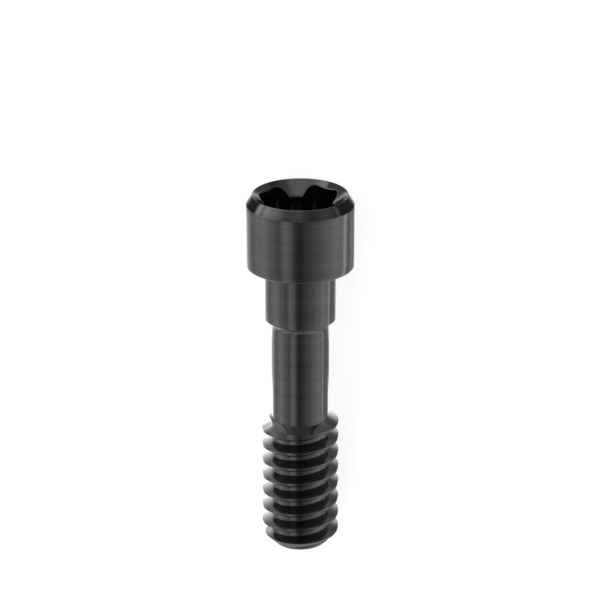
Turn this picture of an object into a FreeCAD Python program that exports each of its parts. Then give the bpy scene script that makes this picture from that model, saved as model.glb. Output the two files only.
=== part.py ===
"""Dental abutment screw: one turned, broached and threaded piece, in millimetres.

The screw is drawn upright, its axis on the body's Z, with the seat under the head at height 0,
the head above and the thread below. It is then laid on its side as it comes to rest: on the
lower edge of the head and the last full crest of the thread, with the head end a little higher.
"""

import FreeCAD, Part
import math
import os
import re
import Sketcher

doc = FreeCAD.newDocument("AbutmentScrew")
sizes = doc.addObject("Spreadsheet::Sheet", "Sizes")

# Lengths in millimetres, angles in degrees. Lengths run along the screw's axis.
DRIVING = {
    "head_diameter": 2.22,
    "head_height": 1.54,
    "rim_diameter": 1.96,
    "rim_chamfer_length": 0.205,
    "edge_break": 0.02,
    "countersink_angle": 90,
    "bore_diameter": 1.36,
    "lobe_reach": 0.86,
    "lobe_width": 0.76,
    "lobe_corner_radius": 0.18,
    "lobe_turn": 52.3,
    "drive_depth": 1.0,
    "drill_point_angle": 118,
    "seat_fillet_radius": 0.06,
    "collar_diameter": 1.48,
    "collar_length": 1.145,
    "neck_length": 0.222,
    "shank_diameter": 1.19,
    "plain_length": 3.376,
    "thread_diameter": 1.6,
    "thread_pitch": 0.35,
    "thread_depth": 0.189,
    "crest_width": 0.044,
    "flank_angle": 60,
    "thread_shoulder_length": 0.094,
    "thread_length": 2.87,
    "tip_diameter": 1.05,
    "groove_offset": 0.076,
    "groove_turn": 103,
    "run_out_turn": 85,
    "tool_overlap": 0.1,
}
LOBE_COUNT = 4

# Turns of extra stock that the thread is cut into before the tip is cut off
SPARE_TURNS = 2

# The least length that counts as off the axis, and the least volume that counts as a cut
ZERO_LENGTH = 1e-9
LEAST_CUT = 1e-4

for row, (alias, number) in enumerate(DRIVING.items(), start=1):
    sizes.set(f"A{row}", alias)
    sizes.set(f"B{row}", str(number))
    sizes.setAlias(f"B{row}", alias)
doc.recompute()


def size(text):
    """An expression with each driving dimension's name turned into its cell of the sheet."""
    return re.sub("[a-z_]+", lambda m: f"Sizes.{m[0]}" if m[0] in DRIVING else m[0], text)


def value(text):
    """The number that such an expression has now."""
    found = sizes.evalExpression(size(text))
    return float(getattr(found, "Value", found))


# Lengths that follow from the driving ones
HEAD_R = "(head_diameter / 2)"
RIM_R = "(rim_diameter / 2)"
BORE_R = "(bore_diameter / 2)"
COLLAR_R = "(collar_diameter / 2)"
SHANK_R = "(shank_diameter / 2)"
THREAD_R = "(thread_diameter / 2)"
TIP_R = "(tip_diameter / 2)"
LENGTH_BELOW_SEAT = "(plain_length + thread_length)"
STOCK_LENGTH = f"({LENGTH_BELOW_SEAT} + {SPARE_TURNS} * thread_pitch)"
NECK_STEP = f"({COLLAR_R} - {SHANK_R})"
NECK_RADIUS = f"(({NECK_STEP} ^ 2 + neck_length ^ 2) / (2 * {NECK_STEP}))"
COUNTERSINK_DEPTH = f"(({RIM_R} - {BORE_R}) / tan(countersink_angle / 2 * 1 deg))"
GROOVE_HALF = "((thread_pitch - crest_width) / 2)"
GROOVE_OVERCUT = "(crest_width / 4)"
FLANK_SLOPE = "tan(flank_angle / 2 * 1 deg)"
SHARP_DEPTH = f"({GROOVE_HALF} / {FLANK_SLOPE})"
ROOT_HALF = f"({GROOVE_HALF} - thread_depth * {FLANK_SLOPE})"
DRILL_POINT_DEPTH = f"({BORE_R} / tan(drill_point_angle / 2 * 1 deg))"


def origin_plane(body, role):
    """The body's own origin plane of that role."""
    return next(f for f in body.Origin.OriginFeatures if f.Role == role)


def add_sketch(body, name, role="XZ_Plane", offset=None):
    """A sketch on one of the body's origin planes."""
    sketch = body.newObject("Sketcher::SketchObject", name)
    sketch.AttachmentSupport = [(origin_plane(body, role), "")]
    sketch.MapMode = "FlatFace"
    if offset is not None:
        sketch.AttachmentOffset = offset
    doc.recompute()
    return sketch


def pin_coordinate(sketch, kind, line, end, text, name):
    """Tie one end of a line to the sketch's origin, along one direction."""
    number = value(text)
    axis = {"DistanceX": -2, "DistanceY": -1}[kind]
    if abs(number) < ZERO_LENGTH:
        sketch.addConstraint(Sketcher.Constraint("PointOnObject", line, end, axis))
        return
    if number > 0:
        constraint = Sketcher.Constraint(kind, -1, 1, line, end, number)
        expression = size(text)
    else:
        constraint = Sketcher.Constraint(kind, line, end, -1, 1, -number)
        expression = size(f"-({text})")
    index = sketch.addConstraint(constraint)
    sketch.renameConstraint(index, name)
    sketch.setExpression(f"Constraints.{name}", expression)


def arc_between(start, end, radius, turn):
    """The short arc from start to end that turns left or right on its way.

    A sketch keeps its arcs turning left, so one that turns right is drawn from its far end.
    """
    if turn == "right":
        start, end = end, start
    chord = end - start
    rise = math.sqrt(radius ** 2 - (chord.Length / 2) ** 2)
    left = FreeCAD.Vector(-chord.y, chord.x, 0).normalize()
    middle = (start + end) / 2 + left * rise
    angles = [math.atan2(p.y - middle.y, p.x - middle.x) for p in (start, end)]
    return Part.ArcOfCircle(Part.Circle(middle, FreeCAD.Vector(0, 0, 1), radius), *angles)


def add_outline(sketch, corners):
    """A closed outline, with each corner's place and each arc's radius tied to the sheet.

    A corner is (x, y), or (x, y, radius, turn) where an arc leads on to the next corner.
    """
    points = [FreeCAD.Vector(value(c[0]), value(c[1]), 0) for c in corners]
    pieces = []
    first_end, last_end = [], []
    for i, corner in enumerate(corners):
        start, end = points[i], points[(i + 1) % len(points)]
        backwards = False
        if len(corner) == 2:
            pieces.append(Part.LineSegment(start, end))
        else:
            pieces.append(arc_between(start, end, value(corner[2]), corner[3]))
            backwards = corner[3] == "right"
        first_end.append(2 if backwards else 1)
        last_end.append(1 if backwards else 2)
    sketch.addGeometry(pieces, False)
    for i in range(len(corners)):
        after = (i + 1) % len(corners)
        joint = Sketcher.Constraint("Coincident", i, last_end[i], after, first_end[after])
        sketch.addConstraint(joint)
    for i, corner in enumerate(corners):
        pin_coordinate(sketch, "DistanceX", i, first_end[i], corner[0], f"across_{i}")
        pin_coordinate(sketch, "DistanceY", i, first_end[i], corner[1], f"along_{i}")
        if len(corner) == 4:
            index = sketch.addConstraint(Sketcher.Constraint("Radius", i, value(corner[2])))
            sketch.renameConstraint(index, f"radius_{i}")
            sketch.setExpression(f"Constraints.radius_{i}", size(corner[2]))
    doc.recompute()


def turned_blank(body):
    """The head, collar, neck, shank and thread blank, as one turned form."""
    sketch = add_sketch(body, "BlankOutline")
    add_outline(sketch, [
        ("0", "head_height"),
        ("0", f"-{STOCK_LENGTH}"),
        (THREAD_R, f"-{STOCK_LENGTH}"),
        (THREAD_R, "-(plain_length + thread_shoulder_length)"),
        (SHANK_R, "-plain_length"),
        (SHANK_R, "-(collar_length + neck_length)", NECK_RADIUS, "right"),
        (COLLAR_R, "-collar_length"),
        (COLLAR_R, "-seat_fillet_radius", "seat_fillet_radius", "right"),
        (f"{COLLAR_R} + seat_fillet_radius", "0"),
        (f"{HEAD_R} - edge_break", "0"),
        (HEAD_R, "edge_break"),
        (HEAD_R, "head_height - rim_chamfer_length"),
        (RIM_R, "head_height"),
    ])
    blank = body.newObject("PartDesign::Revolution", "Blank")
    blank.Profile = sketch
    blank.ReferenceAxis = (sketch, ["V_Axis"])
    blank.Angle = 360
    doc.recompute()
    return blank


def cut_countersink(body):
    """The cone that leads from the sharp rim down to the drive's bore."""
    sketch = add_sketch(body, "CountersinkOutline")
    add_outline(sketch, [
        ("0", "head_height"),
        ("0", f"head_height - {COUNTERSINK_DEPTH}"),
        (BORE_R, f"head_height - {COUNTERSINK_DEPTH}"),
        (RIM_R, "head_height"),
    ])
    return turned_cut(body, sketch, "Countersink")


def turned_cut(body, sketch, name):
    """A cut made by turning an outline about the screw's axis."""
    cut = body.newObject("PartDesign::Groove", name)
    cut.Profile = sketch
    cut.ReferenceAxis = (sketch, ["V_Axis"])
    cut.Angle = 360
    doc.recompute()
    return cut


def cut_bore(body):
    """The round hole in the middle of the drive, with the drill's point at its end."""
    sketch = add_sketch(body, "BoreOutline")
    add_outline(sketch, [
        ("0", "head_height"),
        ("0", f"head_height - drive_depth - {DRILL_POINT_DEPTH}"),
        (BORE_R, "head_height - drive_depth"),
        (BORE_R, "head_height"),
    ])
    return turned_cut(body, sketch, "Bore")


def cut_lobes(body):
    """One broached lobe of the drive, and its three copies around the axis."""
    turn = FreeCAD.Rotation(FreeCAD.Vector(0, 0, 1), DRIVING["lobe_turn"])
    offset = FreeCAD.Placement(FreeCAD.Vector(0, 0, DRIVING["head_height"]), turn)
    sketch = add_sketch(body, "LobeOutline", "XY_Plane", offset)
    sketch.setExpression("AttachmentOffset.Base.z", size("head_height"))
    sketch.setExpression("AttachmentOffset.Rotation.Angle", size("lobe_turn"))
    half = "(lobe_width / 2)"
    corner = "lobe_corner_radius"
    add_outline(sketch, [
        ("0", f"-{half}"),
        (f"lobe_reach - {corner}", f"-{half}", corner, "left"),
        ("lobe_reach", f"-({half} - {corner})"),
        ("lobe_reach", f"{half} - {corner}", corner, "left"),
        (f"lobe_reach - {corner}", half),
        ("0", half),
    ])
    lobe = body.newObject("PartDesign::Pocket", "Lobe")
    lobe.Profile = sketch
    lobe.setExpression("Length", size("drive_depth"))
    doc.recompute()
    lobes = body.newObject("PartDesign::PolarPattern", "Lobes")
    lobes.Originals = [lobe]
    lobes.Axis = (origin_plane(body, "Z_Axis"), [""])
    lobes.Angle = 360
    lobes.Occurrences = LOBE_COUNT
    body.Tip = lobes
    doc.recompute()
    return lobes


def groove_sketch(body):
    """The section of the thread's groove, in the plane where its run-out begins.

    Its flanks go on a little past the crest, so that no corner of it lies on the blank's surface.
    """
    turn = FreeCAD.Rotation(FreeCAD.Vector(0, 1, 0), DRIVING["groove_turn"])
    offset = FreeCAD.Placement(FreeCAD.Vector(), turn)
    sketch = add_sketch(body, "GrooveOutline", "XZ_Plane", offset)
    sketch.setExpression("AttachmentOffset.Rotation.Angle", size("groove_turn"))
    middle = "-(plain_length + groove_offset)"
    outside = f"{THREAD_R} + {GROOVE_OVERCUT} / {FLANK_SLOPE}"
    widest = f"({GROOVE_HALF} + {GROOVE_OVERCUT})"
    root = f"{THREAD_R} - thread_depth"
    add_outline(sketch, [
        (outside, f"{middle} + {widest}"),
        (root, f"{middle} + {ROOT_HALF}"),
        (root, f"{middle} - {ROOT_HALF}"),
        (outside, f"{middle} - {widest}"),
    ])
    return sketch


def cut_thread(body):
    """The right-hand groove, cut on past the tip, and its run-out under the shank."""
    sketch = groove_sketch(body)
    groove = body.newObject("PartDesign::SubtractiveHelix", "ThreadGroove")
    groove.Profile = sketch
    groove.ReferenceAxis = (sketch, ["V_Axis"])
    groove.Mode = "pitch-height-angle"
    groove.Reversed = True
    groove.setExpression("Pitch", size("thread_pitch"))
    groove.setExpression("Height", size("thread_length - groove_offset + thread_pitch"))
    doc.recompute()
    run_out = body.newObject("PartDesign::SubtractiveHelix", "ThreadRunOut")
    run_out.Profile = sketch
    run_out.ReferenceAxis = (sketch, ["V_Axis"])
    run_out.Mode = "height-turns-growth"
    run_out.setExpression("Turns", size("run_out_turn / 360"))
    run_out.setExpression("Height", size("thread_pitch * run_out_turn / 360"))
    run_out.setExpression("Growth", size(f"{SHARP_DEPTH} * 360 / run_out_turn"))
    doc.recompute()
    return groove, run_out


def cut_tip(body):
    """The end is cut off square and chamfered after the thread."""
    sketch = add_sketch(body, "TipOutline")
    outside = f"({THREAD_R} + tool_overlap)"
    below = f"-({STOCK_LENGTH} + tool_overlap)"
    add_outline(sketch, [
        ("0", f"-{LENGTH_BELOW_SEAT}"),
        ("0", below),
        (outside, below),
        (outside, f"-({LENGTH_BELOW_SEAT} - {outside} + {TIP_R})"),
        (TIP_R, f"-{LENGTH_BELOW_SEAT}"),
    ])
    return turned_cut(body, sketch, "TipChamfer")


def lay_down(body):
    """Turn the screw onto its side, on the head's lower edge and the last full crest."""
    groove_start = "plain_length + groove_offset + thread_pitch * groove_turn / 360"
    first_crest = f"({groove_start} + {GROOVE_HALF} + crest_width)"
    chamfer_start = f"({LENGTH_BELOW_SEAT} - {THREAD_R} + {TIP_R})"
    turns_down = f"floor(({chamfer_start} - {first_crest}) / thread_pitch)"
    last_crest = f"({first_crest} + {turns_down} * thread_pitch)"
    tilt = f"atan(({HEAD_R} - {THREAD_R}) / ({last_crest} + edge_break))"
    far_head = f"(head_height * cos({tilt}) + {RIM_R} * sin({tilt}))"
    far_tip = f"({LENGTH_BELOW_SEAT} * cos({tilt}) + {TIP_R} * sin({tilt}))"
    turn = FreeCAD.Rotation(FreeCAD.Vector(0, 1, 0), 90 - value(tilt))
    body.Placement = FreeCAD.Placement(FreeCAD.Vector(), turn)
    body.setExpression("Placement.Rotation.Angle", size(f"90 - {tilt} / 1 deg"))
    body.setExpression("Placement.Base.x", size(f"({far_tip} - {far_head}) / 2"))
    body.setExpression("Placement.Base.z", size(f"{HEAD_R} * cos({tilt}) - edge_break * sin({tilt})"))
    doc.recompute()
    print("tilt in degrees:", round(value(tilt), 3))


def abutment_screw():
    """The whole screw, as one body."""
    body = doc.addObject("PartDesign::Body", "Screw")
    body.Label = "abutment_screw"
    steps = [turned_blank(body), cut_countersink(body), cut_bore(body), cut_lobes(body)]
    steps.extend(cut_thread(body))
    steps.append(cut_tip(body))
    body.Tip = steps[-1]
    doc.recompute()
    for before, after in zip(steps, steps[1:]):
        if after.Shape.Volume > before.Shape.Volume - LEAST_CUT:
            raise RuntimeError(f"{after.Name} cuts nothing")
    lay_down(body)
    return body


def check_document(bodies):
    """Stop if an object of the document failed, or a body's shape isn't one whole solid."""
    for item in doc.Objects:
        if "Invalid" in item.State or "Error" in item.State:
            raise RuntimeError(f"{item.Name} failed: {item.State}")
    for body in bodies:
        shape = body.Shape
        if shape.isNull() or not shape.isValid() or len(shape.Solids) != 1:
            raise RuntimeError(f"{body.Label} isn't one valid solid")


def export_parts(bodies):
    """Write each body to a STEP file with its label as the name."""
    os.makedirs("parts", exist_ok=True)
    for body in bodies:
        body.Shape.exportStep(os.path.join("parts", f"{body.Label}.step"))
        box = body.Shape.BoundBox
        print(body.Label, "volume in cubic mm:", round(body.Shape.Volume, 4))
        print("box:", [round(v, 4) for v in (box.XMin, box.YMin, box.ZMin, box.XMax, box.YMax, box.ZMax)])


screw = abutment_screw()
check_document([screw])
export_parts([screw])
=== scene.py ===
import math

import bmesh
import bpy
import numpy as np
from mathutils import Matrix, Vector


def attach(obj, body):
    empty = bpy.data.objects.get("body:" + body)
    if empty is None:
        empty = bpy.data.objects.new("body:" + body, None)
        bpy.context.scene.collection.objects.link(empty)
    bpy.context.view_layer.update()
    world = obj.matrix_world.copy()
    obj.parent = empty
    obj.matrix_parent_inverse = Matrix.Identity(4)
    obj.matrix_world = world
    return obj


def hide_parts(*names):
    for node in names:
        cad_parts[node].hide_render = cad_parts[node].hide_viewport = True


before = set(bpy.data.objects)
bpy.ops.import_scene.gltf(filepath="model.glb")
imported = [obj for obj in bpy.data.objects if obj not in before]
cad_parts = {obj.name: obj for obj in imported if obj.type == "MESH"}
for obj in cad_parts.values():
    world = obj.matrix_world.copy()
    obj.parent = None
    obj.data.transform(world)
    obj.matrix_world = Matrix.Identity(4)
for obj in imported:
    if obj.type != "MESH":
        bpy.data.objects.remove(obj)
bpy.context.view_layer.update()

# The screw is drawn upright in millimetres, its axis on Z and the seat under its head at height 0.
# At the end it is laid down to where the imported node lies.
MM = 0.001

# Head, countersink and drive socket.
HEAD_R = 1.11
HEAD_TOP = 1.54
RIM_R = 0.98
CHAMFER_START = 1.335
EDGE_BREAK = 0.02
BORE_R = 0.68
BORE_TOP = HEAD_TOP - (RIM_R - BORE_R)
DRIVE_FLOOR = 0.54
DRILL_FLANK = math.radians(59)
DRILL_TIP = DRIVE_FLOOR - BORE_R / math.tan(DRILL_FLANK)
LOBE_COUNT = 4
LOBE_REACH = 0.86
LOBE_HALF = 0.38
LOBE_CORNER = 0.18
LOBE_TURN = 52.3
# Middle of the arc that rounds a lobe's corner, and the angles between which the arc is seen.
LOBE_ARC = LOBE_REACH - LOBE_CORNER, LOBE_HALF - LOBE_CORNER
ARC_FIRST = math.atan2(LOBE_ARC[1], LOBE_REACH)
ARC_LAST = math.atan2(LOBE_HALF, LOBE_ARC[0])

# Seat, collar, neck and shank.
SEAT_FILLET = 0.06
SEAT_MIDDLE_R = 0.95
COLLAR_R = 0.74
COLLAR_END = -1.145
NECK_LEAD = (COLLAR_R - 0.0105, COLLAR_END - 0.024)
NECK_END = -1.367
NECK_ARC = 0.24244
SHANK_R = 0.595
SHANK_END = -3.376
SHOULDER_END = -3.47

# Thread and tip. Half widths of the groove are measured along the axis, angles round it in degrees.
THREAD_R = 0.8
TIP_R = 0.525
TIP_END = -6.246
TIP_START = TIP_END + THREAD_R - TIP_R
PITCH = 0.35
ROOT_R = 0.611
ROOT_ARC = 0.02
GROOVE_HALF = 0.153
FLANK = math.radians(30)
ROOT_HALF = GROOVE_HALF - (THREAD_R - ROOT_R) * math.tan(FLANK)
ROOT_BEND = ROOT_HALF - ROOT_ARC * math.tan((math.pi / 2 - FLANK) / 2)
LAST_TOUCH = ROOT_BEND + ROOT_ARC * math.sin(math.radians(45))
GROOVE_START = -3.452
GROOVE_TURN = 103.0
RUN_OUT_TURN = 85.0
RUN_OUT_RISE = 0.265
GROOVE_PASSES = 10

# How the mesh finds where the groove cuts the blank, and where its rows rest past the cut.
GROOVE_SEARCH = 0.18
SEARCH_STEPS = 721
HALVINGS = 40
LOWEST_REST = -6.2
LAST_ROW = TIP_END + 0.041

# Rows of the mesh: parts of the way up the drive's wall and out over the countersink, distances
# from the groove's middle, and degrees round the arc beside its flat root.
WALL_ROWS = (0.06, 0.35, 0.7, 0.93)
SINK_ROWS = (0.08, 0.4, 0.75, 0.93)
FLANK_ROWS = (0.148, 0.12, 0.09)
ROOT_ARC_ROWS = (60, 45, 30, 15, 0)
ROOT_ROW = 0.02

# Columns of the mesh, in degrees.
COLUMN_STEP = 1.5
COLUMN_GAP = 0.5
ARC_COLUMNS = 7

# The small curves that break the edges, and the angle from which an edge is shaded as sharp.
SOFT = 0.008
RIM_SOFT = 0.011
TIP_SOFT = 0.025
SHARP_ANGLE = math.radians(26)

# Points with the same place in these parts of a millimetre are one. The last reach is in metres.
PLACES_PER_MM = 1e5
MERGE_REACH = 2e-8

# How much each edge is lightened, from 0 to 1: partly worn coating and partly a painted highlight.
RIM_WEAR_AND_HIGHLIGHT = 1.0
EDGE_WEAR_AND_HIGHLIGHT = 0.6
CHAMFER_WEAR_AND_HIGHLIGHT = 0.55
CREST_WEAR_AND_HIGHLIGHT = 0.5
BLANK_WEAR_AND_HIGHLIGHT = 0.35
TIP_WEAR_AND_HIGHLIGHT = 0.3

# Where the screw lies: its tilt, the middle of its seat, and the directions along and square to it.
TILT = math.radians(3.0234762)
BASE = Vector((2.3377251, 0.0, 1.1074))
AXIS = Vector((math.cos(TILT), 0, math.sin(TILT)))
UPWARD = Vector((-math.sin(TILT), 0, math.cos(TILT)))
RIGHT = Vector((0, -1, 0))

# The coating: grey levels, and the tool's feed in mm a turn.
COATING_DARK = (0.082, 0.082, 0.084, 1)
COATING_PALE = (0.098, 0.098, 0.100, 1)
# Lighter metal at the edges: worn coating, and partly a painted highlight.
WORN_AND_HIGHLIT_METAL = (0.26, 0.26, 0.265, 1)
FEED = 0.05
BUMP_DEPTH = 0.0009

# The floor. Its gloss shows painted darker and brighter strips beside the screw, in mm to the right of it.
FLOOR_HALF = 1.0
FLOOR_DROP = 0.002
FLOOR_GLOW = 0.7
BESIDE_HALF = 8
# Painted shade in the floor's gloss, at mm to the right of the screw; 1 takes away its whole glow.
PAINTED_SHADE_BESIDE = ((-8, 0.0), (-6, 0.15), (-5.1, 0.3), (-3.6, 0.7), (-2.4, 0.45), (-1.8, 0.1), (0, 0.0),
          (0.6, 0.85), (1.9, 0.85), (2.4, 0.5), (3.3, 0.85), (4.1, 0.4), (4.8, 0.0))
# Painted bright strips, brighter than white in the gloss: where each starts, is full, fades and
# ends, first to the right and then along the screw from its seat, and its level. The last one runs
# on past the floor's edge.
PAINTED_BRIGHT_STRIPS = (
    ((-1.8, -1.0, 1.0, 1.8), (-2.2, -1.6, 1.7, 1.95), 1.7),
    ((-1.7, -1.0, 1.0, 1.5), (-6.1, -5.6, -3.3, -2.7), 2.4),
    ((4.3, 5.0, 6.5, 8.5), (-6.1, -5.6, 1.4, 1.9), 1.3),
    ((-14, -10, -6.2, -5.4), (2.6, 3.4, 2000, 2001), 1.7),
)

# Light round the screw, in degrees to the right of straight above it. A level of 1 is white, and
# LIGHT_TOP is the highest.
LIGHT_TOP = 2.0
LIGHT_AT_ENDS = 1.0
WALL_LIGHT = ((-90, 1.4), (-62, 0.8), (-46, 0.5), (-32, 1.05), (-22, 0.75), (-10, 0.2),
              (0, 0.13), (12, 0.3), (35, 0.55), (60, 0.95), (82, 1.35), (90, 1.1))
HEAD_LIGHT = ((-90, 2.0), (-70, 1.3), (-35, 0.4), (0, 0.5), (14, 0.25),
              (30, 0.2), (64, 0.4), (80, 0.35), (90, 0.12))

# The camera, in mm from the screw's seat, and the photograph's small shift in pixels.
CAMERA_RISE = math.radians(21.69)
CAMERA_AIM = 0.7754
CAMERA_REACH = 61.8
CAMERA_SHIFT = -0.31
PHOTO_WIDTH = 600


def lobe_outline(turn):
    """Radius of the drive's wall at each angle in degrees."""
    lobe_step = 360 / LOBE_COUNT
    local = np.abs((turn - LOBE_TURN + lobe_step / 2) % lobe_step - lobe_step / 2)
    a = np.radians(np.maximum(local, 1e-6))
    far, lean = math.hypot(*LOBE_ARC), math.atan2(LOBE_ARC[1], LOBE_ARC[0])
    front = LOBE_REACH / np.cos(a)
    side = LOBE_HALF / np.sin(a)
    reach = LOBE_CORNER ** 2 - (far * np.sin(a - lean)) ** 2
    corner = far * np.cos(a - lean) + np.sqrt(np.maximum(reach, 0))
    r = np.where(a < ARC_FIRST, front, np.where(a < ARC_LAST, corner, side))
    return np.maximum(r, BORE_R)


def columns():
    """Angles of the mesh's columns in degrees, one turn from where the groove starts."""
    bore = math.degrees(math.asin(LOBE_HALF / BORE_R))
    marks = [*np.linspace(math.degrees(ARC_FIRST), math.degrees(ARC_LAST), ARC_COLUMNS), bore]
    lobes = [LOBE_TURN + 360 / LOBE_COUNT * k for k in range(LOBE_COUNT)]
    special = [lobe + s * m for lobe in lobes for s in (-1, 1) for m in marks]
    special = np.array(sorted((x - GROOVE_TURN) % 360 for x in special))
    plain = np.arange(0, 360, COLUMN_STEP)
    clear = np.abs(plain[:, None] - special[None, :]).min(1) > COLUMN_GAP
    clear[0] = True
    turn = np.unique(np.concatenate([plain[clear], special, [360.0]]))
    return GROOVE_TURN + turn


def arc(middle, radius, start, end, steps):
    """Points of an arc in the half section, angles in degrees."""
    for a in np.radians(np.linspace(start, end, steps + 1)):
        yield middle[0] + radius * math.cos(a), middle[1] + radius * math.sin(a)


def rounded(before, corner, after, size, steps):
    """A corner of the half section with its edge broken by a small curve."""
    p, c, q = (Vector(x) for x in (before, corner, after))
    a = c + (p - c).normalized() * size
    b = c + (q - c).normalized() * size
    for t in np.linspace(0, 1, steps + 1):
        m = a * (1 - t) ** 2 + c * 2 * t * (1 - t) + b * t ** 2
        yield m.x, m.y


def between(start, end, steps):
    """Inner points of a straight stretch of the half section."""
    for t in np.linspace(0, 1, steps + 1)[1:-1]:
        yield start[0] + (end[0] - start[0]) * t, start[1] + (end[1] - start[1]) * t


def blank_radius(z):
    """Radius of the thread's blank at a height."""
    heights = [TIP_END, TIP_START, SHOULDER_END, SHANK_END]
    return np.interp(z, heights, [TIP_R, THREAD_R, THREAD_R, SHANK_R])


def groove_radius(d):
    """Radius of the groove at an axial distance from its middle."""
    d = np.abs(d)
    bend = np.maximum(d - ROOT_BEND, 0)
    low = ROOT_R + ROOT_ARC - np.sqrt(np.maximum(ROOT_ARC ** 2 - bend ** 2, 0))
    flank = ROOT_R + (d - ROOT_HALF) / math.tan(FLANK)
    return np.where(bend < ROOT_ARC * math.cos(FLANK), low, flank)


def groove_span(middle, lift):
    """Lowest and highest point where the groove cuts the blank, or its resting place twice."""
    def over(z):
        return groove_radius(z - middle) + lift - blank_radius(z)
    start, end = max(middle - GROOVE_SEARCH, TIP_END), min(middle + GROOVE_SEARCH, SHANK_END)
    z = np.linspace(start, end, SEARCH_STEPS)
    if middle + GROOVE_SEARCH < TIP_END or over(z).min() >= 0:
        rest = min(max(middle + LAST_TOUCH, LOWEST_REST), SHOULDER_END)
        return rest, rest
    deepest = z[over(z).argmin()]
    ends = []
    for far in (z[0], z[-1]):
        inside, outside = deepest, far
        for _ in range(HALVINGS):
            half = (inside + outside) / 2
            if over(half) < 0:
                inside = half
            else:
                outside = half
        ends.append(inside)
    return ends[0], ends[1]


def groove_passes(turn):
    """Middle, lift, lowest and highest point of each pass of the groove over the columns."""
    past_start = turn - GROOVE_TURN
    middles = np.array([GROOVE_START + PITCH * (past_start / 360 - g) for g in range(GROOVE_PASSES)])
    lifts = np.zeros_like(middles)
    lifts[0] = RUN_OUT_RISE * past_start / RUN_OUT_TURN
    spans = np.array([[groove_span(m, lift) for m, lift in zip(*row)] for row in zip(middles, lifts)])
    low, high = spans[..., 0], spans[..., 1]
    gone = high[0] == low[0]
    high[0][gone] = low[0][gone] = np.maximum(low[0][gone], high[1][gone])
    return middles, lifts, low, high


def thread_rows(turn):
    """Rows of the thread over the columns, from the shank down to the tip: radius, height, and edge wear with
    painted highlight.
    """
    middles, lifts, low, high = groove_passes(turn)
    curve = [ROOT_BEND + ROOT_ARC * math.sin(math.radians(a)) for a in ROOT_ARC_ROWS]
    half = [*FLANK_ROWS, *curve, ROOT_ROW]
    steps = [*half, *(-d for d in reversed(half))]
    shank = np.full(len(turn), SHANK_END)
    rows = [(blank_radius(shank), shank, 0.0)]
    for g in range(GROOVE_PASSES + 1):
        top = low[g - 1] if g else shank
        bottom = high[g] if g < GROOVE_PASSES else np.full(len(turn), LAST_ROW)
        for edge in (SHOULDER_END, TIP_START):
            z = np.minimum(np.maximum(edge, bottom), top)
            rows.append((blank_radius(z), z, BLANK_WEAR_AND_HIGHLIGHT))
        if g == GROOVE_PASSES:
            break
        rows.append((blank_radius(high[g]), high[g], CREST_WEAR_AND_HIGHLIGHT))
        for d in steps:
            z = np.clip(middles[g] + d, low[g], high[g])
            r = np.minimum(groove_radius(z - middles[g]) + lifts[g], blank_radius(z))
            rows.append((r, z, 0.0))
        rows.append((blank_radius(low[g]), low[g], CREST_WEAR_AND_HIGHLIGHT))
    rows.append((blank_radius(bottom), bottom, 0.0))
    return rows


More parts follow.
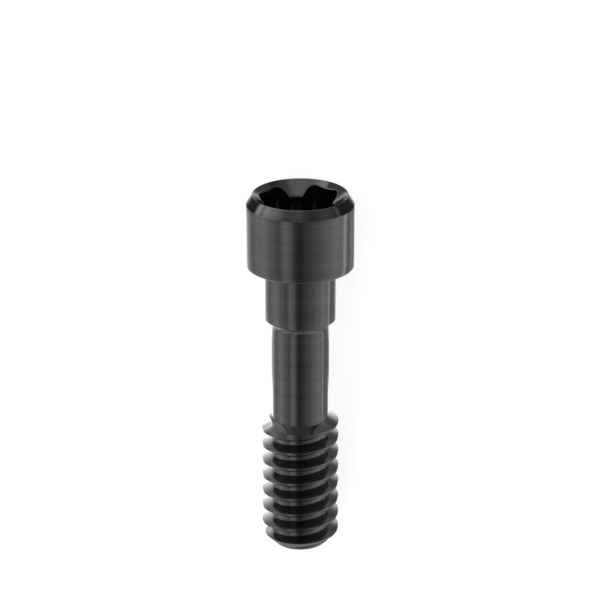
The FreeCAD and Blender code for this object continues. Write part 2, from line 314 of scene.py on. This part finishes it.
def screw_rows(turn):
    """All rows from the bottom of the drive over the rim and down to the middle of the tip."""
    n = len(turn)
    wall = lobe_outline(turn)
    rows = []

    def ring(r, z, wear_and_highlight=0.0):
        r, z = (np.broadcast_to(np.asarray(x, float), n) for x in (r, z))
        rows.append((r, z, wear_and_highlight))

    def rings(points, wear_and_highlight=0.0):
        for r, z in points:
            ring(r, z, wear_and_highlight)

    # Drill point, drive socket and countersink.
    ring(0, DRILL_TIP)
    rings(between((0, DRILL_TIP), (BORE_R, DRIVE_FLOOR), 4))
    ring(BORE_R, DRIVE_FLOOR)
    ring(wall, DRIVE_FLOOR)
    mouth = BORE_TOP + wall - BORE_R
    for t in WALL_ROWS:
        ring(wall, DRIVE_FLOOR + (mouth - DRIVE_FLOOR) * t)
    ring(wall, mouth - SOFT, EDGE_WEAR_AND_HIGHLIGHT)
    ring(wall + SOFT * 0.3, mouth - SOFT * 0.15, RIM_WEAR_AND_HIGHLIGHT)
    ring(wall + SOFT, mouth + SOFT, EDGE_WEAR_AND_HIGHLIGHT)
    inner = (RIM_R - SOFT, HEAD_TOP - SOFT)
    for t in SINK_ROWS:
        ring(wall + SOFT + (inner[0] - wall - SOFT) * t, mouth + SOFT + (inner[1] - mouth - SOFT) * t)

    # Rim, chamfer, head and seat.
    bore, rim, chamfer = (BORE_R, BORE_TOP), (RIM_R, HEAD_TOP), (HEAD_R, CHAMFER_START)
    foot, seat = (HEAD_R, EDGE_BREAK), (HEAD_R - EDGE_BREAK, 0)
    rings(rounded(bore, rim, chamfer, RIM_SOFT, 4), RIM_WEAR_AND_HIGHLIGHT)
    rings(between(rim, chamfer, 4))
    rings(rounded(rim, chamfer, (HEAD_R, 0), SOFT, 3), CHAMFER_WEAR_AND_HIGHLIGHT)
    rings(between(chamfer, (HEAD_R, 0), 6))
    rings(rounded(chamfer, foot, seat, SOFT, 2), EDGE_WEAR_AND_HIGHLIGHT)
    rings(rounded(foot, seat, (COLLAR_R, 0), SOFT, 2), EDGE_WEAR_AND_HIGHLIGHT)
    ring(SEAT_MIDDLE_R, 0)
    rings(arc((COLLAR_R + SEAT_FILLET, -SEAT_FILLET), SEAT_FILLET, 90, 180, 6))

    # Collar, neck and shank.
    collar = (COLLAR_R, COLLAR_END)
    rings(between((COLLAR_R, -SEAT_FILLET), collar, 4))
    rings(rounded((COLLAR_R, 0), collar, NECK_LEAD, SOFT, 2), EDGE_WEAR_AND_HIGHLIGHT)
    middle = (SHANK_R + NECK_ARC, NECK_END)
    start = math.degrees(math.atan2(COLLAR_END - NECK_END, COLLAR_R - middle[0]))
    rings(list(arc(middle, NECK_ARC, start, 180, 12))[1:])
    rings(between((SHANK_R, NECK_END), (SHANK_R, SHANK_END), 6))

    rows.extend(thread_rows(turn))

    tip = (TIP_R, TIP_END)
    rings(rounded((THREAD_R, TIP_START), tip, (0, TIP_END), TIP_SOFT, 5), TIP_WEAR_AND_HIGHLIGHT)
    rings(between(tip, (0, TIP_END), 4))
    ring(0, TIP_END)
    return rows


def laid_down(points):
    """Millimetre points of the upright screw, turned to where it lies, in metres."""
    x, y, z = points.T
    out = np.empty_like(points)
    out[:, 0] = x * math.sin(TILT) + z * math.cos(TILT) + BASE.x
    out[:, 1] = y
    out[:, 2] = -x * math.cos(TILT) + z * math.sin(TILT) + BASE.z
    return out * MM


def grid_faces(row_count, column_count, same):
    """Faces between neighbouring rows and columns, without the points that fall together."""
    n = column_count
    i, j = np.meshgrid(np.arange(row_count - 1), np.arange(n - 1), indexing="ij")
    corner = (i * n + j).reshape(-1)
    quads = same[np.stack([corner, corner + n, corner + n + 1, corner + 1], -1)]
    faces = []
    for quad in quads.tolist():
        kept = [v for k, v in enumerate(quad) if v != quad[k - 1]]
        if len(kept) > 2 and len(set(kept)) == len(kept):
            faces.append(kept)
    return faces


def screw_mesh():
    """The whole surface as one closed mesh, with its edges marked for wear and painted highlight."""
    turn = columns()
    a = np.radians(turn % 360)
    rows = screw_rows(turn)
    r = np.array([row[0] for row in rows])
    z = np.array([row[1] for row in rows])
    wear_and_highlight = np.repeat([row[2] for row in rows], len(turn))
    points = np.stack([r * np.cos(a), r * np.sin(a), z], -1).reshape(-1, 3)
    keys = np.round(points * PLACES_PER_MM).astype(np.int64)
    _, first, same = np.unique(keys, axis=0, return_index=True, return_inverse=True)
    same = same.reshape(-1)
    mesh = bpy.data.meshes.new("abutment_screw_surface")
    mesh.from_pydata(laid_down(points[first]).tolist(), [], grid_faces(len(rows), len(turn), same))
    strongest = np.zeros(len(first), np.float32)
    np.maximum.at(strongest, same, wear_and_highlight)
    mark = mesh.attributes.new("wear_and_highlight", "FLOAT", "POINT")
    mark.data.foreach_set("value", strongest)
    bm = bmesh.new()
    bm.from_mesh(mesh)
    bmesh.ops.remove_doubles(bm, verts=bm.verts, dist=MERGE_REACH)
    loose = [v for v in bm.verts if not v.link_faces]
    bmesh.ops.delete(bm, geom=loose, context="VERTS")
    bm.to_mesh(mesh)
    bm.free()
    mesh.shade_smooth()
    mesh.set_sharp_from_angle(angle=SHARP_ANGLE)
    return mesh


class Nodes:
    """Short ways to build a node tree. A source is another node's socket or a plain value."""

    def __init__(self, tree):
        self.tree = tree
        tree.nodes.clear()

    def add(self, kind, **settings):
        node = self.tree.nodes.new(kind)
        for name, setting in settings.items():
            setattr(node, name, setting)
        return node

    def put(self, socket, source):
        if hasattr(source, "links"):
            self.tree.links.new(source, socket)
        else:
            socket.default_value = source

    def math(self, operation, *sources, clamp=False):
        node = self.add("ShaderNodeMath", operation=operation, use_clamp=clamp)
        for socket, source in zip(node.inputs, sources):
            self.put(socket, source)
        return node.outputs[0]

    def dot(self, vector, direction):
        node = self.add("ShaderNodeVectorMath", operation="DOT_PRODUCT")
        self.put(node.inputs[0], vector)
        node.inputs[1].default_value = direction
        return node.outputs["Value"]

    def spread(self, value, low, high, start=0.0, end=1.0, smooth=True):
        """From start to end while the value goes from low to high."""
        node = self.add("ShaderNodeMapRange", interpolation_type="SMOOTHSTEP" if smooth else "LINEAR")
        self.put(node.inputs["Value"], value)
        for name, number in (("From Min", low), ("From Max", high), ("To Min", start), ("To Max", end)):
            node.inputs[name].default_value = number
        return node.outputs["Result"]

    def window(self, value, start, full, fade, end, level=1.0):
        """The level where the value lies between full and fade, and 0 outside start and end."""
        return self.math("MULTIPLY", self.spread(value, start, full), self.spread(value, fade, end, level, 0))

    def ramp(self, value, stops):
        """Smooth grey through the stops, each a place from 0 to 1 and a level."""
        node = self.add("ShaderNodeValToRGB")
        node.color_ramp.interpolation = "EASE"
        elements = node.color_ramp.elements
        while len(elements) < len(stops):
            elements.new(0.5)
        for element, (place, level) in zip(elements, stops):
            element.position = place
            element.color = (level, level, level, 1)
        self.put(node.inputs["Fac"], value)
        return node.outputs["Color"]

    def mix(self, factor, first, second):
        """The first colour where the factor is 0 and the second where it is 1."""
        node = self.add("ShaderNodeMix", data_type="RGBA")
        self.put(node.inputs["Factor"], factor)
        self.put(node.inputs[6], first)
        self.put(node.inputs[7], second)
        return node.outputs[2]

    def noise(self, vector, scale, detail, roughness=0.5):
        node = self.add("ShaderNodeTexNoise", noise_dimensions="3D")
        self.put(node.inputs["Vector"], vector)
        for name, number in (("Scale", scale), ("Detail", detail), ("Roughness", roughness)):
            node.inputs[name].default_value = number
        return node.outputs["Fac"]

    def close(self, kind, shader):
        """The tree's output node of this kind, fed by the shader node."""
        self.put(self.add(kind).inputs["Surface"], shader.outputs[0])


def black_titanium():
    """Hard black coating on turned titanium: dark, semi-gloss, with fine rings from the tool."""
    material = bpy.data.materials.new("black_coated_titanium")
    material.use_nodes = True
    n = Nodes(material.node_tree)
    place = n.add("ShaderNodeTexCoord").outputs["Object"]
    shifted = n.add("ShaderNodeVectorMath", operation="SUBTRACT")
    n.put(shifted.inputs[0], place)
    shifted.inputs[1].default_value = BASE * MM
    along = n.math("MULTIPLY", n.dot(shifted.outputs[0], AXIS), 1 / MM)
    side = n.math("MULTIPLY", n.dot(shifted.outputs[0], -RIGHT), 1 / MM)
    up = n.math("MULTIPLY", n.dot(shifted.outputs[0], UPWARD), 1 / MM)
    radius = n.math("SQRT", n.math("ADD", n.math("MULTIPLY", side, side), n.math("MULTIPLY", up, up)))

    def rings(fineness, drift, detail):
        """Noise that changes along and across the axis, and hardly round it."""
        spot = n.add("ShaderNodeCombineXYZ")
        n.put(spot.inputs[0], n.math("MULTIPLY", along, fineness))
        n.put(spot.inputs[1], n.math("MULTIPLY", radius, fineness))
        n.put(spot.inputs[2], n.math("MULTIPLY", n.math("ADD", side, up), drift))
        return n.noise(spot.outputs[0], 1, detail, 0.6)

    fine = rings(34, 0.12, 2)
    broad = rings(14, 0.2, 1)
    grain = n.noise(place, 60 / MM, 2)
    cloud = n.noise(place, 1.6 / MM, 3)

    # Lighter edges: partly worn coating, partly a painted highlight along the rim, chamfer and crests.
    wear_and_highlight = n.add("ShaderNodeAttribute", attribute_name="wear_and_highlight", attribute_type="GEOMETRY").outputs["Fac"]
    broken = n.spread(cloud, 0.38, 0.68, 0.25, 1.0)
    worn_and_highlit = n.math("MULTIPLY", n.spread(wear_and_highlight, 0.45, 1.0), broken, clamp=True)
    coating = n.mix(n.spread(n.math("ADD", fine, broad), 0.8, 1.2), COATING_DARK, COATING_PALE)
    colour = n.mix(n.math("MULTIPLY", worn_and_highlit, 0.45), coating, WORN_AND_HIGHLIT_METAL)

    rough = n.math("ADD", n.spread(broad, 0.3, 0.7, 0.12, 0.15), n.spread(cloud, 0.35, 0.7, 0.0, 0.03))

    feed = n.math("SINE", n.math("MULTIPLY", n.math("ADD", along, radius), 2 * math.pi / FEED))
    marks = n.math("ADD", n.math("MULTIPLY", feed, 0.12), n.math("MULTIPLY", fine, 0.6))
    bump = n.add("ShaderNodeBump")
    bump.inputs["Strength"].default_value = 0.3
    bump.inputs["Distance"].default_value = BUMP_DEPTH * MM
    n.put(bump.inputs["Height"], n.math("ADD", marks, n.math("MULTIPLY", grain, 0.08)))

    shader = n.add("ShaderNodeBsdfPrincipled")
    n.put(shader.inputs["Base Color"], colour)
    shader.inputs["Metallic"].default_value = 0.96
    n.put(shader.inputs["Roughness"], rough)
    n.put(shader.inputs["Normal"], bump.outputs[0])
    n.close("ShaderNodeOutputMaterial", shader)
    return material


def painted_floor_gloss(n):
    """Painted gloss shade beside the screw, below 0 at painted bright strips, and a painted black part."""
    split = n.add("ShaderNodeSeparateXYZ")
    n.put(split.inputs[0], n.add("ShaderNodeTexCoord").outputs["Object"])
    along = n.math("SUBTRACT", n.math("MULTIPLY", split.outputs[0], 1 / MM), BASE.x)
    right = n.math("MULTIPLY", split.outputs[1], -1 / MM)
    aside = n.math("ABSOLUTE", right)

    # Painted shade in the gloss, by the distance to the right of the screw.
    place = n.spread(right, -BESIDE_HALF, BESIDE_HALF, smooth=False)
    beside = n.ramp(place, [((mm + BESIDE_HALF) / (2 * BESIDE_HALF), painted_gloss_shade) for mm, painted_gloss_shade in PAINTED_SHADE_BESIDE])
    # Painted shade in the gloss around the head's end, and before the tip.
    near = n.window(right, -5.8, -4.6, 6, 60)
    at_head = n.math("MULTIPLY", near, n.spread(along, 0.4, 1.5))
    before_tip = n.math("MULTIPLY", n.spread(along, -6.6, -6.1, 0.95, 0), n.spread(aside, 2.5, 5, 1, 0))
    painted_gloss_shade = n.math("MAXIMUM", n.math("MAXIMUM", beside, at_head), before_tip)
    # Painted bright strips: the floor glows brighter than white there, in gloss only.
    for across, lengthwise, level in PAINTED_BRIGHT_STRIPS:
        painted_strip = n.math("MULTIPLY", n.window(right, *across, level), n.window(along, *lengthwise))
        painted_gloss_shade = n.math("SUBTRACT", painted_gloss_shade, painted_strip)
    # Painted black in the gloss, beside the head's end.
    return painted_gloss_shade, n.math("MULTIPLY", at_head, n.spread(aside, 1.5, 2.2, 0, 0.8))


def pale_floor_painted_gloss():
    """A white floor that keeps the screw's soft shadow, white to the camera, in gloss with painted
    reflections.
    """
    material = bpy.data.materials.new("pale_floor_painted_gloss")
    material.use_nodes = True
    n = Nodes(material.node_tree)
    path = n.add("ShaderNodeLightPath")
    glossy = path.outputs["Is Glossy Ray"]
    seen = n.math("ADD", path.outputs["Is Camera Ray"], glossy, clamp=True)
    seen = n.math("ADD", seen, path.outputs["Is Transmission Ray"], clamp=True)
    painted_gloss_shade, painted_black_part = painted_floor_gloss(n)

    matt = n.add("ShaderNodeBsdfDiffuse")
    matt.inputs["Color"].default_value = (0.82, 0.82, 0.82, 1)
    glow = n.add("ShaderNodeEmission")
    # White glow to the camera; in gloss, less the painted shade and more at the painted bright strips.
    level = n.math("SUBTRACT", seen, n.math("MULTIPLY", glossy, painted_gloss_shade))
    n.put(glow.inputs["Strength"], n.math("MULTIPLY", level, FLOOR_GLOW))
    pale = n.add("ShaderNodeAddShader")
    n.put(pale.inputs[0], matt.outputs[0])
    n.put(pale.inputs[1], glow.outputs[0])
    # Painted black reflection: a black patch in the floor's gloss.
    painted_black = n.add("ShaderNodeEmission")
    painted_black.inputs["Strength"].default_value = 0
    floor = n.add("ShaderNodeMixShader")
    n.put(floor.inputs["Fac"], n.math("MULTIPLY", glossy, painted_black_part))
    n.put(floor.inputs[1], pale.outputs[0])
    n.put(floor.inputs[2], painted_black.outputs[0])
    n.close("ShaderNodeOutputMaterial", floor)
    return material


def studio_world():
    """Soft light from all round, with the gaps between the soft boxes running along the screw."""
    world = bpy.data.worlds.new("studio")
    world.use_nodes = True
    bpy.context.scene.world = world
    n = Nodes(world.node_tree)
    way = n.add("ShaderNodeTexCoord").outputs["Generated"]
    along = n.dot(way, AXIS)
    round_axis = n.math("ARCTAN2", n.dot(way, RIGHT), n.dot(way, UPWARD))
    place = n.spread(round_axis, -math.pi / 2, math.pi / 2, smooth=False)

    walls, head = (
        n.ramp(place, [((degrees + 90) / 180, level / LIGHT_TOP) for degrees, level in light])
        for light in (WALL_LIGHT, HEAD_LIGHT))
    both = n.mix(n.spread(along, 0.0, 0.45), walls, head)
    at_ends = n.spread(n.math("ABSOLUTE", along), 0.9, 0.925)
    end_grey = LIGHT_AT_ENDS / LIGHT_TOP
    light = n.add("ShaderNodeBackground")
    n.put(light.inputs["Color"], n.mix(at_ends, both, (end_grey, end_grey, end_grey, 1)))
    light.inputs["Strength"].default_value = LIGHT_TOP
    n.close("ShaderNodeOutputWorld", light)


def photo_camera():
    """The camera above the lying screw, on its head's side, as the photograph shows it."""
    target = BASE - AXIS * CAMERA_AIM
    back = UPWARD * math.cos(CAMERA_RISE) + AXIS * math.sin(CAMERA_RISE)
    data = bpy.data.cameras.new("camera")
    data.sensor_width = 36
    data.lens = 180
    data.shift_x = CAMERA_SHIFT / PHOTO_WIDTH
    data.clip_start = 1 * MM
    data.clip_end = 10
    camera = bpy.data.objects.new("camera", data)
    turn = Matrix((RIGHT, back.cross(RIGHT), back)).transposed()
    camera.matrix_world = Matrix.Translation((target + back * CAMERA_REACH) * MM) @ turn.to_4x4()
    bpy.context.scene.collection.objects.link(camera)
    bpy.context.scene.camera = camera


screw = bpy.data.objects.new("abutment_screw_body", screw_mesh())
bpy.context.scene.collection.objects.link(screw)
screw.data.materials.append(black_titanium())
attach(screw, "root")
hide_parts("abutment_screw")

floor_mesh = bpy.data.meshes.new("floor")
corners = [(x * FLOOR_HALF, y * FLOOR_HALF, 0) for x, y in ((-1, -1), (1, -1), (1, 1), (-1, 1))]
floor_mesh.from_pydata(corners, [], [(0, 1, 2, 3)])
floor = bpy.data.objects.new("floor", floor_mesh)
floor.location.z = -FLOOR_DROP * MM
bpy.context.scene.collection.objects.link(floor)
floor_mesh.materials.append(pale_floor_painted_gloss())

studio_world()
photo_camera()
bpy.context.scene.view_settings.view_transform = "Standard"
